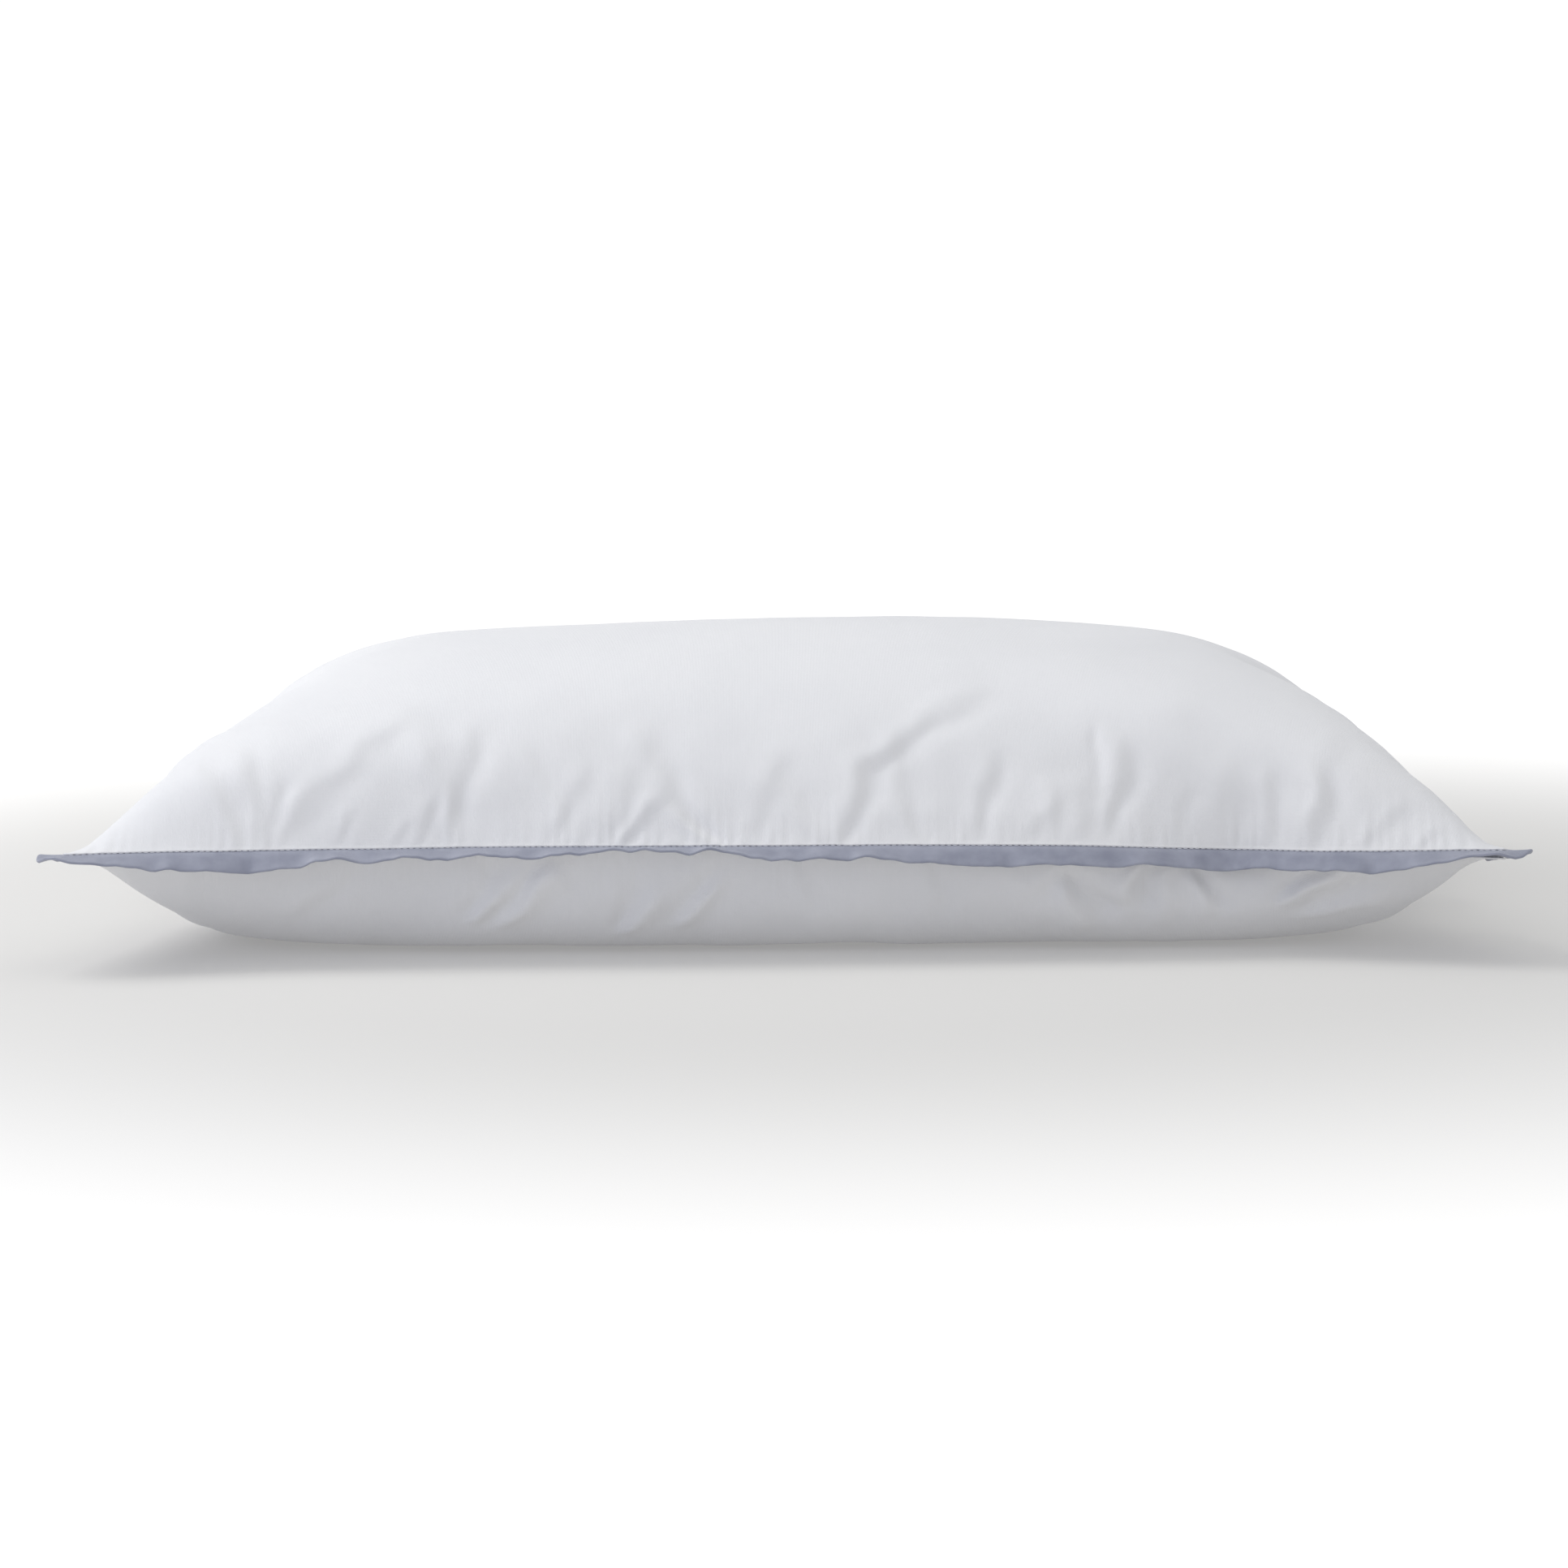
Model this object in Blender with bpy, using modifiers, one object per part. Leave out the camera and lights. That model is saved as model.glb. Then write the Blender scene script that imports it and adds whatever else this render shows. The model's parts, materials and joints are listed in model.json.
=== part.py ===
"""Bed pillow: two ticking panels round a feather core and two down fills, with a satin flange in the seam.

Metres, +Z up.  The origin is the middle of the flat patch that the pillow lies on, +X runs along its
length and the front long side faces -Y.  Every layer is drawn over one square of coordinates (u, v),
each from -1 to 1, that is stretched over the pillow's plan, so the layers nest inside each other.
"""
import math

import bmesh
import bpy
from mathutils import Vector

# Driving dimensions
CORNER_X, CORNER_Y = 0.362, 0.242     # half length and half width of the ticking at its corners
PULL_X, PULL_Y = 0.027, 0.032         # how far the filling pulls the short and long sides in
SEAM_Z = 0.0575                       # height of the seam halfway along a side
CORNER_LIFT = 0.005                   # extra height of the seam at the corners
CROWN = 0.0986                        # height of the crown above the upper panel's edge
EDGE_LIFT = 0.0019                    # each ticking edge stands this far off the middle of the seam

TICKING = 0.0006                      # thickness of the outer ticking
LINING = 0.0004                       # thickness of the inner ticking
FILL_INSET = 0.0013                   # down fill below the outer ticking's outside
CORE_INSET_UP = 0.034                 # inner ticking below the crown
CORE_INSET_DOWN = 0.020               # inner ticking above the base
LAYER_STEP = 0.0015                   # clearance between one nested surface and the next

FLANGE_WIDTH = 0.0135                 # visible width of the folded strip
FLANGE_DROOP = 0.005                  # its free edge hangs this far below the seam
FLANGE_ALLOWANCE = 0.008              # the part of the strip inside the seam
FLANGE_THICKNESS = 0.0010             # two plies of satin
LONGEST_MITRE = 1.3                   # the strip's corners are blunted to this many widths
THREAD_RADIUS = 0.0002
SEAM_INSET = 0.0030                   # the stitch line lies this far inside the edge
LABEL_WIDTH = 0.040
LABEL_THICKNESS = 0.0003
LABEL_PLACE = 0.55                    # where the label hangs, as a share of the half length
GAP = 0.0003                          # clearance between touching pieces

# Plan scale of each nested layer, and how far its rim stands off the middle of the seam
FILL_REACH, FILL_INNER_REACH, RIM_LIFT = 0.975, 0.960, 0.0022
INNER_THREAD_REACH = 0.955
LINING_REACH, LINING_LIFT = 0.948, 0.0008
CORE_REACH, CORE_LIFT = 0.940, 0.0005

COLUMNS, ROWS = 24, 16                # cells of the grid along the length and the width

WHITE_COTTON = (0.86, 0.87, 0.89, 1.0)
LINING_COTTON = (0.83, 0.83, 0.82, 1.0)
BLUE_GREY_SATIN = (0.36, 0.39, 0.47, 1.0)
DOWN_WHITE = (0.90, 0.89, 0.86, 1.0)
FEATHER_GREY = (0.74, 0.72, 0.68, 1.0)
THREAD_WHITE = (0.82, 0.83, 0.86, 1.0)
LABEL_WHITE = (0.88, 0.88, 0.87, 1.0)


# ---- The pillow's form ----

def spread(t):
    """Crowd evenly spaced values from -1 to 1 towards the two ends, where the panels turn over."""
    return math.sin(0.5 * math.pi * t)


def plan(u, v):
    """Outline of the pillow from above: four corners with the sides pulled in between them."""
    x = u * (CORNER_X - PULL_X * (1.0 - v * v))
    y = v * (CORNER_Y - PULL_Y * (1.0 - u ** 4))
    return x, y


def inner_plan(u, v, reach):
    """Outline of a layer inside the ticking: scaled by reach, with its corners rounded off."""
    rounding = 4.0 * (1.0 - reach)
    x, y = plan(u * math.sqrt(1.0 - rounding * v * v), v * math.sqrt(1.0 - rounding * u * u))
    return x * reach, y * reach


def seam_height(u, v):
    return SEAM_Z + CORNER_LIFT * u * u * v * v


def crown_shape(u, v):
    """0 at the seam, 1 at the crown: a rounded mound."""
    return (1.0 - abs(u) ** 4) * (1.0 - abs(v) ** 3.2)


def belly_shape(u, v):
    """0 at the seam, 1 on the flat patch: an upright wall that turns under onto the flat."""
    return min(1.0, 1.2 * (1.0 - u ** 12) * (1.0 - v ** 12))


def upper(reach, inset, lift=EDGE_LIFT):
    """Surface above the seam: reach scales its plan, inset lowers its crown, lift raises its edge."""
    def place(u, v):
        rise = CROWN + EDGE_LIFT - lift - inset
        return Vector((*inner_plan(u, v, reach), seam_height(u, v) + lift + rise * crown_shape(u, v)))
    return place


def lower(reach, inset, lift=EDGE_LIFT):
    """Surface below the seam, flat at the height inset over the part that bears the weight."""
    def place(u, v):
        drop = seam_height(u, v) - lift - inset
        return Vector((*inner_plan(u, v, reach), seam_height(u, v) - lift - drop * belly_shape(u, v)))
    return place


def border():
    """The (u, v) pairs round the edge of the square, anticlockwise from the front left corner."""
    front = [(spread(2 * i / COLUMNS - 1), -1.0) for i in range(COLUMNS)]
    right = [(1.0, spread(2 * i / ROWS - 1)) for i in range(ROWS)]
    back = [(-u, 1.0) for u, v in front]
    left = [(-1.0, -v) for u, v in right]
    return front + right + back + left


def seam_line(offset, rise=0.0):
    """Closed loop of points beside the seam, offset outwards with mitred corners, rise above it."""
    corners = [Vector(plan(u, v)) for u, v in border()]
    count = len(corners)
    points = []
    for i, (u, v) in enumerate(border()):
        before = (corners[i] - corners[i - 1]).normalized()
        after = (corners[(i + 1) % count] - corners[i]).normalized()
        out_before = Vector((before.y, -before.x))
        out_after = Vector((after.y, -after.x))
        mitre = (out_before + out_after) / (1.0 + out_before.dot(out_after))
        mitre *= min(1.0, LONGEST_MITRE / mitre.length)
        point = corners[i] + mitre * offset
        points.append(Vector((point.x, point.y, seam_height(u, v) + rise)))
    return points


# ---- Building tools ----

def clear_scene():
    for thing in list(bpy.data.objects):
        bpy.data.objects.remove(thing, do_unlink=True)


def material(name, colour, roughness):
    result = bpy.data.materials.new(name)
    result.use_nodes = True
    shader = result.node_tree.nodes["Principled BSDF"]
    shader.inputs["Base Color"].default_value = colour
    shader.inputs["Roughness"].default_value = roughness
    shader.inputs["Metallic"].default_value = 0.0
    return result


def add_object(name, data, surface_material, collection):
    thing = bpy.data.objects.new(name, data)
    data.materials.append(surface_material)
    collection.objects.link(thing)
    return thing


def mesh_from(bm, name):
    mesh = bpy.data.meshes.new(name)
    bm.to_mesh(mesh)
    bm.free()
    mesh.shade_smooth()
    return mesh


def solidify(thing, thickness, offset):
    modifier = thing.modifiers.new("thickness", "SOLIDIFY")
    modifier.thickness = thickness
    modifier.offset = offset
    modifier.use_even_offset = True


def layer_grid():
    bm = bmesh.new()
    bmesh.ops.create_grid(bm, x_segments=COLUMNS, y_segments=ROWS, size=1.0)
    return bm


def panel(name, place, facing_up, thickness, surface_material, collection):
    """A cloth panel: an open surface, thickened inwards."""
    bm = layer_grid()
    for vert in bm.verts:
        vert.co = place(spread(vert.co.x), spread(vert.co.y))
    if not facing_up:
        bmesh.ops.reverse_faces(bm, faces=bm.faces[:])
    thing = add_object(name, mesh_from(bm, name), surface_material, collection)
    solidify(thing, thickness, -1.0)
    return thing


def filling(name, place_top, place_bottom, surface_material, collection):
    """A stuffed body: the grid extruded into a closed block whose two faces take their own surfaces."""
    bm = layer_grid()
    bottom = set(bm.verts)
    bmesh.ops.extrude_face_region(bm, geom=bm.faces[:])
    for vert in bm.verts:
        place = place_bottom if vert in bottom else place_top
        vert.co = place(spread(vert.co.x), spread(vert.co.y))
    bmesh.ops.recalc_face_normals(bm, faces=bm.faces[:])
    if bm.calc_volume(signed=True) < 0.0:
        bmesh.ops.reverse_faces(bm, faces=bm.faces[:])
    return add_object(name, mesh_from(bm, name), surface_material, collection)


def thread(name, points, closed, surface_material, collection):
    """A sewing thread along the points."""
    curve = bpy.data.curves.new(name, "CURVE")
    curve.dimensions = "3D"
    curve.bevel_depth = THREAD_RADIUS
    curve.bevel_resolution = 2
    curve.use_fill_caps = True
    spline = curve.splines.new("POLY")
    spline.points.add(len(points) - 1)
    for target, point in zip(spline.points, points):
        target.co = (*point, 1.0)
    spline.use_cyclic_u = closed
    return add_object(name, curve, surface_material, collection)


# ---- The pieces ----

def add_flange(collection, satin):
    """One folded strip all round, from its seam allowance out to its drooping free edge."""
    half = 0.5 * FLANGE_WIDTH
    loops = [
        seam_line(-FLANGE_ALLOWANCE),
        seam_line(0.0),
        seam_line(half, -0.35 * FLANGE_DROOP),
        seam_line(FLANGE_WIDTH, -FLANGE_DROOP),
    ]
    count = len(loops[0])
    bm = bmesh.new()
    ring = bmesh.ops.create_circle(bm, cap_ends=False, segments=count, radius=1.0)["verts"]
    edges = list(bm.edges)
    rings = [ring]
    for step in loops[1:]:
        made = bmesh.ops.extrude_edge_only(bm, edges=edges)["geom"]
        rings.append([item for item in made if isinstance(item, bmesh.types.BMVert)])
        edges = [item for item in made if isinstance(item, bmesh.types.BMEdge)]
    for verts, points in zip(rings, loops):
        in_order = sorted(verts, key=lambda vert: math.atan2(vert.co.y, vert.co.x) % (2 * math.pi))
        for vert, point in zip(in_order, points):
            vert.co = point
    bmesh.ops.recalc_face_normals(bm, faces=bm.faces[:])
    thing = add_object("satin_flange", mesh_from(bm, "satin_flange"), satin, collection)
    solidify(thing, FLANGE_THICKNESS, 0.0)


def add_seam_threads(collection, cotton_thread):
    """The lockstitch that holds the panels and the flange, one thread on each side of the strip."""
    beside_flange = 0.5 * FLANGE_THICKNESS + GAP + THREAD_RADIUS
    thread("seam_needle_thread", seam_line(-SEAM_INSET, beside_flange), True, cotton_thread, collection)
    thread("seam_bobbin_thread", seam_line(-SEAM_INSET, -beside_flange), True, cotton_thread, collection)


def add_inner_seam_thread(collection, cotton_thread, reach):
    """The thread that joins the two inner panels round the feather core."""
    points = [Vector((*inner_plan(u, v, reach), seam_height(u, v))) for u, v in border()]
    thread("inner_seam_thread", points, True, cotton_thread, collection)


def add_closing_thread(collection, cotton_thread):
    """Top stitching over the gap in the back long seam, where the pillow was filled."""
    place = upper(1.0, 0.0)
    stand_off = THREAD_RADIUS + 1.5 * GAP
    v = spread(1.0 - 2.0 / ROWS)
    points = []
    for i in range(-3, 4):
        u = spread(2 * i / COLUMNS)
        here = place(u, v)
        along_u = place(u + 0.01, v) - place(u - 0.01, v)
        along_v = place(u, v + 0.01) - place(u, v - 0.01)
        points.append(here + along_u.cross(along_v).normalized() * stand_off)
    thread("closing_seam_thread", points, False, cotton_thread, collection)


def add_care_label(collection, tape):
    """A blank woven tab caught in the back seam under the flange, hanging down behind the pillow."""
    # Each pair is how far the tab stands out from the seam and how far it is below it.
    profile = [(-0.0012, 0.00105), (0.0008, 0.00105), (0.0022, 0.0020), (0.0030, 0.0038),
               (0.0034, 0.0100), (0.0038, 0.0220), (0.0046, 0.0360), (0.0060, 0.0460)]
    bm = bmesh.new()
    bmesh.ops.create_grid(bm, x_segments=4, y_segments=len(profile) - 1, size=1.0)
    for vert in bm.verts:
        out, down = profile[round((vert.co.y + 1.0) * 0.5 * (len(profile) - 1))]
        u = LABEL_PLACE + vert.co.x * 0.5 * LABEL_WIDTH / CORNER_X
        x, y = plan(u, 1.0)
        vert.co = Vector((x, y + out, seam_height(u, 1.0) - down))
    thing = add_object("care_label", mesh_from(bm, "care_label"), tape, collection)
    solidify(thing, LABEL_THICKNESS, 0.0)


def main():
    clear_scene()
    collection = bpy.data.collections.new("bed_pillow")
    bpy.context.scene.collection.children.link(collection)

    outer_cotton = material("outer_cotton", WHITE_COTTON, 0.75)
    inner_cotton = material("inner_cotton", LINING_COTTON, 0.85)
    satin = material("satin", BLUE_GREY_SATIN, 0.35)
    down = material("down", DOWN_WHITE, 0.95)
    feather = material("feather", FEATHER_GREY, 0.95)
    cotton_thread = material("cotton_thread", THREAD_WHITE, 0.60)
    tape = material("label_tape", LABEL_WHITE, 0.65)

    panel("upper_ticking", upper(1.0, 0.0), True, TICKING, outer_cotton, collection)
    panel("lower_ticking", lower(1.0, 0.0), False, TICKING, outer_cotton, collection)
    add_flange(collection, satin)

    filling("upper_down_fill",
            upper(FILL_REACH, FILL_INSET, RIM_LIFT),
            upper(FILL_INNER_REACH, CORE_INSET_UP - LAYER_STEP, RIM_LIFT), down, collection)
    filling("lower_down_fill",
            lower(FILL_INNER_REACH, CORE_INSET_DOWN - LAYER_STEP, RIM_LIFT),
            lower(FILL_REACH, FILL_INSET, RIM_LIFT), down, collection)
    panel("inner_ticking_upper", upper(LINING_REACH, CORE_INSET_UP, LINING_LIFT), True, LINING,
          inner_cotton, collection)
    panel("inner_ticking_lower", lower(LINING_REACH, CORE_INSET_DOWN, LINING_LIFT), False, LINING,
          inner_cotton, collection)
    filling("feather_core",
            upper(CORE_REACH, CORE_INSET_UP + LAYER_STEP, CORE_LIFT),
            lower(CORE_REACH, CORE_INSET_DOWN + LAYER_STEP, CORE_LIFT), feather, collection)

    add_seam_threads(collection, cotton_thread)
    add_inner_seam_thread(collection, cotton_thread, INNER_THREAD_REACH)
    add_closing_thread(collection, cotton_thread)
    add_care_label(collection, tape)


main()
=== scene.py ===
"""Bed pillow: the looks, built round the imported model.

Two flat panels sewn at their edges are inflated on the floor in the cloth solver.  The settled cloth is
smoothed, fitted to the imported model's length, width and height, and moved towards the photo's outline by
formula.  The filling is built inside it.  Then dents, creases and puckers are added in code, and the strip,
the stitches and the label are built along the seam.  Metres, +Z up, the front long side faces -Y.
"""
import json
import math
import random

import bpy
import numpy as np
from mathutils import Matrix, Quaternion, Vector, noise

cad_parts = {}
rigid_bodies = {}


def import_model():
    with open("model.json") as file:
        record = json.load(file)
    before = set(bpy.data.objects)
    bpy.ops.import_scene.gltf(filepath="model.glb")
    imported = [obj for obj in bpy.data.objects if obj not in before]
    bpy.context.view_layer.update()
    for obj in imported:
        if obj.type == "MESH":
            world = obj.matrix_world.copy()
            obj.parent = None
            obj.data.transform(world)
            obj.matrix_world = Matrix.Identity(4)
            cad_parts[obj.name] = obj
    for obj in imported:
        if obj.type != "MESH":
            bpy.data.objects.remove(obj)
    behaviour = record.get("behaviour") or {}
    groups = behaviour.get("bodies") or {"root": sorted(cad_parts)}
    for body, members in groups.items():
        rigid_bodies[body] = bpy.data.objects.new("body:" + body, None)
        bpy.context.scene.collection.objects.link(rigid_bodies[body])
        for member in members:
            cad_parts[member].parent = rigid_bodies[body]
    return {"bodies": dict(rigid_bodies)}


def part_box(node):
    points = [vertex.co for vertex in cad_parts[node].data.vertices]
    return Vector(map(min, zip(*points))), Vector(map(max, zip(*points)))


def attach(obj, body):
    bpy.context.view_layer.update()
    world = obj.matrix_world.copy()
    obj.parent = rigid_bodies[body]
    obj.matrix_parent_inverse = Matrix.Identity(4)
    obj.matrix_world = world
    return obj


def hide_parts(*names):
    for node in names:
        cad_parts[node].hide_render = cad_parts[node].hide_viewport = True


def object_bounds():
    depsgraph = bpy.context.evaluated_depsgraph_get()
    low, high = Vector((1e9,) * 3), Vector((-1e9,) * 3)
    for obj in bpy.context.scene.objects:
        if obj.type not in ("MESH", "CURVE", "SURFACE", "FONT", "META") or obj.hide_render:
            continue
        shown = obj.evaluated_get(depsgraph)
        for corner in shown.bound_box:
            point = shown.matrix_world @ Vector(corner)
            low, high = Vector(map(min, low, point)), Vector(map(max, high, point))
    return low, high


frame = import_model()
CAD_LOW, CAD_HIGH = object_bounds()
BODY = next(iter(frame["bodies"]))

# Sizes of the cut cloth and the sewing
FLAT_LENGTH, FLAT_WIDTH = 0.750, 0.500
FLANGE_WIDTH = 0.0130            # how far the folded strip stands out from the seam
FLANGE_ALLOWANCE = 0.0070        # how far it runs in behind the seam
FLANGE_HALF_THICKNESS = 0.00045
CLOTH = 0.0004                   # thickness of the ticking, seen only where its edge turns under
STITCH_PITCH, STITCH_LENGTH, STITCH_RADIUS = 0.0031, 0.0022, 0.00018
PUCKER_PITCH, PUCKER_HEIGHT = 0.0078, 0.0006
FILLING_GAP = (0.32, 0.68)       # where the closed gap begins and ends, as shares of the back seam

# The edge of a panel turned under: steps outwards, steps down behind it, and how far out on the flat cloth
TURN_UNDER = [(0.0005, 0.0004, 0.0006), (0.0004, 0.0008, 0.001), (-0.008, 0.0008, 0.009)]

# Cells of the cloth grid that is inflated, and how many each is divided into for the finished cloth
COARSE = (75, 50)
FINISH_STEPS = (6, 4)
RELAXED_CELLS = 1.8              # wrinkles narrower than this many coarse cells are left to the creases

# How the settled shape is moved towards the photo's outline
SEAM_LIFT, SEAM_LEAN, CORNER_SAG = 0.0032, 0.0038, 0.0072
BACK_CORNER_SAG, BACK_TAPER = 0.018, 0.018
END_FULLNESS = 0.015
SHOULDERS = [(0.003, 0.245, 0.065), (0.0055, -0.215, 0.13)]      # height, place along the length, width

# The strip's free edge: its slope at the corners in degrees, its curl and stretch there, waves elsewhere
CORNER_SLOPE, EAR_CURL, EAR_STRETCH, RIPPLE = 3.0, 0.0014, 0.05, 0.0028

# Inner layers: scale of the plan, share of the cloth's height above the seam, lift of the whole layer
UPPER_DOWN_OUTSIDE, UPPER_DOWN_INSIDE = (0.972, 0.95, 0.0022), (0.955, 0.66, 0.0022)
LOWER_DOWN_OUTSIDE, LOWER_DOWN_INSIDE = (0.972, 0.93, -0.0022), (0.955, 0.68, -0.0022)
CORE_TOP, CORE_UNDERSIDE = (0.938, 0.61, 0.0005), (0.938, 0.61, -0.0005)
LINING_REACH, LINING_SHARE, LINING_LIFT = 0.945, 0.64, 0.0009
LINING_SEAM = (0.950, 0.64, 0.0)

# Light
DOME_RIM, DOME_TOP = (0.125, 0.138, 0.20), (0.99, 0.995, 0.985)
KEY_POWER, FILL_POWER = 14.3, 2.2
# The floor's painted glow: painted light, dim under the pillow so that it paints a soft shadow round it
PAINTED_FLOOR_GLOW, PAINTED_GLOW_REACH = (0.20, 0.70), (0.42, 1.2)               # under the pillow and far out; from, to

# Soft creases of the finished front, as strokes: place along the seam and distance from it at the start and
# at the end, then half width and height.  Seen from above on the flat cloth, a ridge has a shallower valley
# on the right of the stroke's direction, and a valley (negative height) a shallower ridge on its left.
UPPER_CREASES = [
    (-0.266, 0.012, -0.262, 0.040, 0.0055, -0.0011),
    (-0.262, 0.014, -0.196, 0.098, 0.0080, 0.0010),
    (-0.172, 0.014, -0.156, 0.078, 0.0070, -0.0014),
    (-0.118, 0.010, -0.098, 0.052, 0.0060, -0.0008),
    (-0.088, 0.004, -0.066, 0.036, 0.0050, 0.0012),
    (-0.036, 0.003, -0.066, 0.038, 0.0050, -0.0012),
    (-0.066, 0.036, -0.082, 0.080, 0.0080, 0.0009),
    (-0.016, 0.012, 0.004, 0.058, 0.0070, -0.0007),
    (0.032, 0.008, 0.052, 0.056, 0.0075, -0.0022),
    (0.048, 0.050, 0.112, 0.104, 0.0085, -0.0016),
    (0.100, 0.010, 0.113, 0.058, 0.0060, -0.0014),
    (0.122, 0.010, 0.150, 0.044, 0.0070, 0.0007),
    (0.163, 0.070, 0.162, 0.028, 0.0055, -0.0012),
    (0.169, 0.012, 0.186, 0.062, 0.0065, -0.0019),
    (0.205, 0.010, 0.212, 0.034, 0.0050, -0.0008),
    (0.257, 0.006, 0.261, 0.044, 0.0050, -0.0013),
    (0.282, 0.004, 0.290, 0.040, 0.0060, -0.0018),
    (0.303, 0.006, 0.325, 0.030, 0.0055, 0.0009),
    (0.306, 0.003, 0.311, 0.022, 0.0032, -0.0007),
    (0.330, 0.003, 0.342, 0.016, 0.0030, 0.0005),
    (0.233, 0.003, 0.238, 0.020, 0.0032, -0.0006),
    (-0.206, 0.003, -0.199, 0.018, 0.0032, 0.0005),
    (-0.190, 0.004, -0.184, 0.028, 0.0038, -0.0007),
    (-0.232, 0.003, -0.226, 0.022, 0.0035, -0.0006),
]
LOWER_CREASES = [
    (-0.164, 0.040, -0.140, 0.012, 0.0060, 0.0028),
    (-0.150, 0.044, -0.116, 0.008, 0.0060, 0.0030),
    (-0.086, 0.050, -0.066, 0.020, 0.0065, 0.0030),
    (-0.056, 0.044, -0.034, 0.014, 0.0060, 0.0026),
    (0.146, 0.018, 0.166, 0.044, 0.0075, -0.0046),
    (0.188, 0.008, 0.181, 0.036, 0.0055, -0.0042),
    (0.214, 0.012, 0.228, 0.038, 0.0055, -0.0030),
    (0.258, 0.032, 0.298, 0.010, 0.0060, 0.0034),
    (0.268, 0.040, 0.310, 0.020, 0.0060, -0.0028),
]


# ---- Cloth arrays: positions on a grid of columns along the length by rows along the width ----

def flat_grid(columns, rows):
    """Flat coordinates of every grid point, in metres from the panel's middle."""
    x = np.linspace(-0.5, 0.5, columns + 1) * FLAT_LENGTH
    y = np.linspace(-0.5, 0.5, rows + 1) * FLAT_WIDTH
    return np.stack(np.meshgrid(x, y, indexing="ij"), axis=-1)


def edge_distance(flat):
    """How far each point of the flat cloth is from its nearest edge."""
    return np.minimum(0.5 * FLAT_LENGTH - abs(flat[..., 0]), 0.5 * FLAT_WIDTH - abs(flat[..., 1]))


def finer(grid, steps):
    """The same surface with steps cells for each old one along each axis, by Catmull-Rom interpolation."""
    for axis in (0, 1):
        cells = grid.shape[axis] - 1
        where = np.linspace(0.0, cells, cells * steps[axis] + 1)
        first = np.minimum(where.astype(int), cells - 1)
        t = (where - first).reshape(-1, 1, 1)
        rows = np.moveaxis(grid, axis, 0)
        a, b, c, d = (rows[np.clip(first + k, 0, cells)] for k in (-1, 0, 1, 2))
        mixed = 2 * b + (c - a) * t + (2 * a - 5 * b + 4 * c - d) * t ** 2 + (3 * b - a - 3 * c + d) * t ** 3
        grid = np.moveaxis(0.5 * mixed, 0, axis)
    return grid


def blurred(grid, cells):
    """The surface with everything narrower than so many cells smoothed away, its edge left in place."""
    reach = int(3 * cells)
    weights = np.exp(-0.5 * (np.arange(-reach, reach + 1) / cells) ** 2)
    weights /= weights.sum()
    for axis in (0, 1):
        rows = np.moveaxis(grid, axis, 0)
        before = 2 * rows[:1] - rows[reach:0:-1]
        after = 2 * rows[-1:] - rows[-2:-reach - 2:-1]
        longer = np.concatenate([before, rows, after])
        rows = sum(weight * longer[k:k + len(rows)] for k, weight in enumerate(weights))
        grid = np.moveaxis(rows, 0, axis)
    return grid


def normals(grid, up):
    """Unit normals of the surface, on the side that up (1 or -1) says."""
    across = np.cross(np.gradient(grid, axis=0), np.gradient(grid, axis=1)) * up
    return across / np.maximum(np.linalg.norm(across, axis=-1, keepdims=True), 1e-12)


def bumps(flat, size, seed):
    """Smooth noise from -1 to 1 over the flat cloth, with lumps about as wide as size."""
    points = flat.reshape(-1, 2) / size
    values = [noise.noise(Vector((x, y, seed))) for x, y in points]
    return np.array(values).reshape(flat.shape[:2])


def creases(flat, table):
    """Height of strokes pressed into the cloth, each a ridge or valley beside its shallower opposite."""
    along, away = flat[..., 0], flat[..., 1] + 0.5 * FLAT_WIDTH
    height = np.zeros(flat.shape[:2])
    partner_share, partner_place, partner_side_steepness = 0.55, 1.5, 1.6
    wander = 0.8 * bumps(flat, 0.022, 41.0)
    for x0, away0, x1, away1, half_width, rise in table:
        dx, dy = x1 - x0, away1 - away0
        length = math.hypot(dx, dy)
        run = ((along - x0) * dx + (away - away0) * dy) / length ** 2
        across = ((along - x0) * dy - (away - away0) * dx) / length / half_width
        across = across / (0.7 + 0.6 * np.clip(run, 0.0, 1.0)) + wander
        partner_side = across * math.copysign(1.0, rise)
        steep = np.where(partner_side > 0.0, partner_side_steepness, 1.0)
        partner = partner_share * np.exp(-(partner_side - partner_place) ** 2)
        profile = np.exp(-steep * across ** 2) - partner
        start, end = np.clip((run + 0.25) / 0.4, 0.0, 1.0), np.clip((1.15 - run) / 0.5, 0.0, 1.0)
        height += rise * profile * (start * end) ** 2 * (3 - 2 * start) * (3 - 2 * end)
    return height


def random_strokes(count, span, seed):
    """Strokes in the same form as the tables above, spread along an edge with seeded chance."""
    chance = random.Random(seed)
    strokes = []
    for k in range(count):
        start = span * ((k + 0.5 + chance.uniform(-0.4, 0.4)) / count - 0.5)
        lean, reach = chance.uniform(-0.035, 0.035), chance.uniform(0.030, 0.085)
        rise = chance.choice((-1, 1)) * chance.uniform(0.0006, 0.0018)
        strokes.append((start, 0.008, start + lean, reach, chance.uniform(0.005, 0.009), rise))
    return strokes


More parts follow.
